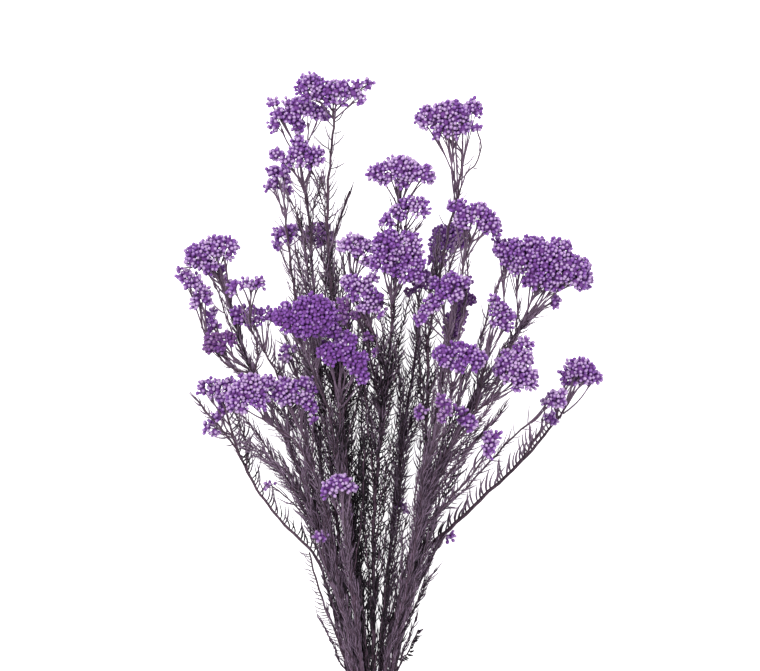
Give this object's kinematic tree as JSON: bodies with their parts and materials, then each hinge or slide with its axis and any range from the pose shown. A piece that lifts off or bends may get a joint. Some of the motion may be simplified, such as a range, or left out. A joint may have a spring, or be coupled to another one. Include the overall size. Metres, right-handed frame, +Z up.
{
  "type": "bunch of dried rice flower",
  "caption": "Tied bunch of dyed, dried flower stems that lies on a surface: leafy stems with needle leaves, topped by domed heads of small round buds.",
  "frame": {"origin": "under the middle of the whole bunch's box, on the surface that it lies on", "axes": "+Y from the band to the flower heads, +X to the right seen from above, +Z up from the surface"},
  "size_m": [0.3196, 0.5804, 0.1671],
  "materials": {
    "stem": "matte",
    "bud": "matte",
    "band": "matte"
  },
  "bodies": {
    "root": {"tie_band": "band", "leafy_stem_01": "stem", "leafy_stem_02": "stem", "leafy_stem_03": "stem", "leafy_stem_04": "stem", "leafy_stem_05": "stem", "leafy_stem_06": "stem", "leafy_stem_07": "stem", "leafy_stem_08": "stem", "leafy_stem_09": "stem", "leafy_stem_10": "stem", "leafy_stem_11": "stem", "leafy_stem_12": "stem", "leafy_stem_13": "stem", "leafy_stem_14": "stem", "leafy_stem_15": "stem", "flower_head_01": "bud", "flower_head_02": "bud", "flower_head_03": "bud", "flower_head_04": "bud", "flower_head_05": "bud", "flower_head_06": "bud", "flower_head_07": "bud", "flower_head_08": "bud", "flower_head_09": "bud", "flower_head_10": "bud", "flower_head_11": "bud", "flower_head_12": "bud", "flower_head_13": "bud", "flower_head_14": "bud", "flower_head_15": "bud", "flower_head_16": "bud", "flower_head_17": "bud", "flower_head_18": "bud", "flower_head_19": "bud", "flower_head_20": "bud", "flower_head_21": "bud", "flower_head_22": "bud", "flower_head_23": "bud", "flower_head_24": "bud", "flower_head_25": "bud", "flower_head_26": "bud", "flower_head_27": "bud", "flower_head_28": "bud", "flower_head_29": "bud", "flower_head_30": "bud", "flower_head_31": "bud", "flower_head_32": "bud", "flower_head_33": "bud", "flower_head_34": "bud", "flower_head_35": "bud", "flower_head_36": "bud", "flower_head_37": "bud", "flower_head_38": "bud", "flower_head_39": "bud", "flower_head_40": "bud", "flower_head_41": "bud", "flower_head_42": "bud", "flower_head_43": "bud"}
  },
  "joints": []
}
